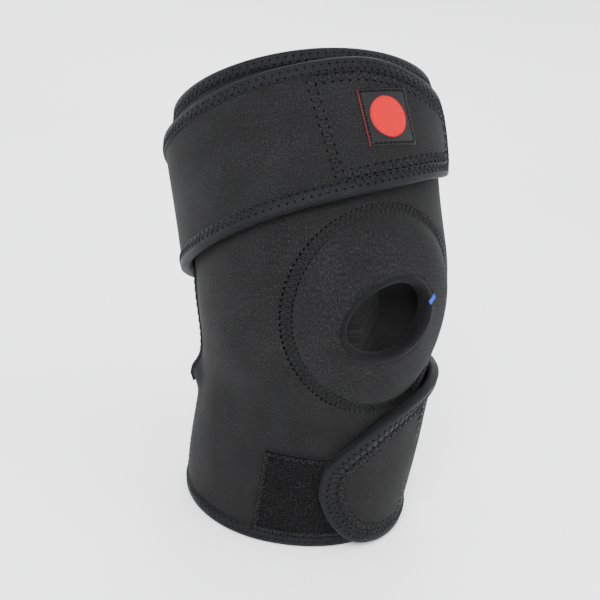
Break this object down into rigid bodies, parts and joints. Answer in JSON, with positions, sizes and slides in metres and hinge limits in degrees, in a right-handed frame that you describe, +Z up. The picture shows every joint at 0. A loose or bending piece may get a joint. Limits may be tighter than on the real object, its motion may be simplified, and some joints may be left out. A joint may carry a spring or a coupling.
{
  "type": "knee brace",
  "caption": "Wrap-around neoprene knee brace with an open patella ring, bound edges, and thigh and calf straps that close with hook and loop.",
  "frame": {"origin": "centre of the calf opening, in the plane of the bottom edge that the brace stands on", "axes": "+Z up the shin, -Y to the front of the knee, +X to the right seen from the front"},
  "size_m": [0.1461, 0.1783, 0.2424],
  "materials": {
    "neoprene": "nylon jersey faced neoprene, matte",
    "edge_tape": "folded binding tape, slight satin",
    "rim_tape": "turned knit edge",
    "thread": "twisted polyester thread",
    "label_thread": "twisted polyester thread",
    "blue_thread": "bar tack thread",
    "loop_pile": "napped loop pile",
    "hook_tape": "moulded nylon hooks",
    "label_cloth": "woven satin label",
    "emblem_red": "embroidered disc"
  },
  "bodies": {
    "calf_body": {"main_panel_lower": "neoprene", "patella_pad_lower": "neoprene", "patella_rim_lower": "rim_tape", "ring_stitch_lower": "thread", "bottom_binding": "edge_tape", "rear_binding_left_lower": "edge_tape", "rear_binding_right_lower": "edge_tape", "calf_loop_patch": "loop_pile", "calf_loop_stitch": "thread", "calf_strap_rear": "neoprene", "calf_strap_rear_binding": "edge_tape"},
    "thigh_body": {"main_panel_upper": "neoprene", "patella_pad_upper": "neoprene", "patella_rim_upper": "rim_tape", "ring_stitch_upper": "thread", "rim_tack": "blue_thread", "top_binding": "edge_tape", "rear_binding_left_upper": "edge_tape", "rear_binding_right_upper": "edge_tape", "thigh_loop_patch": "loop_pile", "thigh_loop_stitch": "thread", "thigh_strap_rear": "neoprene", "thigh_strap_rear_binding": "edge_tape"},
    "thigh_strap": {"thigh_strap_front": "neoprene", "thigh_strap_front_binding": "edge_tape", "thigh_hook_patch": "hook_tape", "thigh_hook_stitch": "thread", "label": "label_cloth", "label_stitch": "label_thread", "label_emblem": "emblem_red"},
    "calf_strap": {"calf_strap_front": "neoprene", "calf_strap_front_binding": "edge_tape", "calf_hook_patch": "hook_tape", "calf_hook_stitch": "thread"}
  },
  "joints": [
    {"name": "knee_flex", "type": "hinge", "parent": "calf_body", "child": "thigh_body", "pos_m": [0, 0, 0.11146], "axis": [-1, 0, 0], "range_deg": [-18, 20]},
    {"name": "thigh_strap_peel", "type": "hinge", "parent": "thigh_body", "child": "thigh_strap", "pos_m": [-0.07199, 0.02285, 0.12741], "axis": [0.0493, -0.589, -0.8066], "range_deg": [0, 90]},
    {"name": "calf_strap_peel", "type": "hinge", "parent": "calf_body", "child": "calf_strap", "pos_m": [0.06461, 0.0109, 0.004], "axis": [0.0215, -0.0102, 0.9997], "range_deg": [0, 90]}
  ]
}
